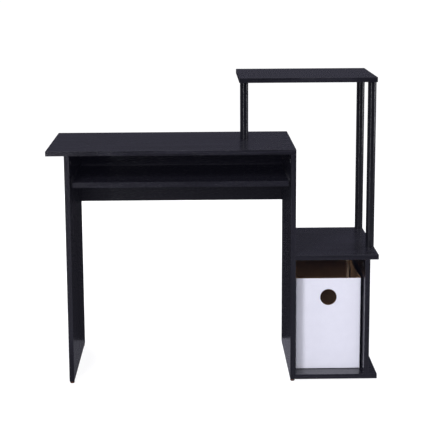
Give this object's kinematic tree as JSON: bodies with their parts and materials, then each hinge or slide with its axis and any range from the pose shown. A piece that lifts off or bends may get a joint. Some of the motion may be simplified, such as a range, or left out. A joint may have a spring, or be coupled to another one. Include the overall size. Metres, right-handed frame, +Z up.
{
  "type": "computer desk with keyboard tray",
  "caption": "Black flat-pack computer desk with a sliding keyboard tray, a raised side shelf on round tubes, a lower shelf and a pull-out storage bin.",
  "frame": {"origin": "on the floor, under the middle of the desk's overall box", "axes": "+Z up, +X to the right of someone sitting at the desk, -Y towards that person; the tray and the bin pull out along -Y"},
  "size_m": [1, 0.395, 0.929],
  "materials": {
    "black_laminate": "black woodgrain laminate on particle board, satin",
    "tube_steel": "black powder coat, semi-gloss",
    "slide_steel": "black lacquered steel",
    "zinc_fittings": "zinc, dull",
    "nylon": "natural nylon",
    "glide_plastic": "brown plastic",
    "plug_plastic": "black plastic",
    "white_card": "white paper on brown board"
  },
  "bodies": {
    "frame": {"desktop": "black_laminate", "left_side_panel": "black_laminate", "centre_side_panel": "black_laminate", "right_side_panel": "black_laminate", "modesty_panel": "black_laminate", "middle_shelf": "black_laminate", "bottom_board": "black_laminate", "upper_shelf": "black_laminate", "left_tube": "tube_steel", "right_front_tube": "tube_steel", "right_rear_tube": "tube_steel", "left_tube_top_plug": "plug_plastic", "left_tube_foot_plug": "plug_plastic", "right_front_tube_top_plug": "plug_plastic", "right_front_tube_foot_plug": "plug_plastic", "right_rear_tube_top_plug": "plug_plastic", "right_rear_tube_foot_plug": "plug_plastic", "glide_left_front": "glide_plastic", "glide_left_rear": "glide_plastic", "glide_centre_front": "glide_plastic", "glide_centre_rear": "glide_plastic", "glide_right_front": "glide_plastic", "glide_right_rear": "glide_plastic", "cam_lock_left_panel_front": "zinc_fittings", "cam_lock_left_panel_rear": "zinc_fittings", "cam_lock_centre_panel_front": "zinc_fittings", "cam_lock_centre_panel_rear": "zinc_fittings", "cam_lock_right_panel_front": "zinc_fittings", "cam_lock_right_panel_rear": "zinc_fittings", "cam_lock_middle_shelf_front": "zinc_fittings", "cam_lock_middle_shelf_rear": "zinc_fittings", "cam_lock_bottom_board_front": "zinc_fittings", "cam_lock_bottom_board_rear": "zinc_fittings", "cam_bolt_left_panel_front": "zinc_fittings", "cam_bolt_left_panel_rear": "zinc_fittings", "cam_bolt_centre_panel_front": "zinc_fittings", "cam_bolt_centre_panel_rear": "zinc_fittings", "cam_bolt_right_panel_front": "zinc_fittings", "cam_bolt_right_panel_rear": "zinc_fittings", "cam_bolt_middle_shelf_front": "zinc_fittings", "cam_bolt_middle_shelf_rear": "zinc_fittings", "cam_bolt_bottom_board_front": "zinc_fittings", "cam_bolt_bottom_board_rear": "zinc_fittings", "cam_lock_modesty_left": "zinc_fittings", "cam_lock_modesty_right": "zinc_fittings", "cam_bolt_modesty_left": "zinc_fittings", "cam_bolt_modesty_right": "zinc_fittings", "confirmat_screw_front": "zinc_fittings", "confirmat_screw_rear": "zinc_fittings", "left_tray_rail": "slide_steel", "right_tray_rail": "slide_steel"},
    "tray": {"keyboard_tray": "black_laminate", "left_tray_runner": "slide_steel", "right_tray_runner": "slide_steel", "left_runner_shoe": "nylon", "right_runner_shoe": "nylon"},
    "bin": {"storage_bin": "white_card"}
  },
  "joints": [
    {"name": "tray_slide", "type": "slide", "parent": "frame", "child": "tray", "axis": [0, -1, 0], "range_m": [0, 0.22]},
    {"name": "bin_slide", "type": "slide", "parent": "frame", "child": "bin", "axis": [0, -1, 0], "range_m": [0, 0.18]}
  ]
}
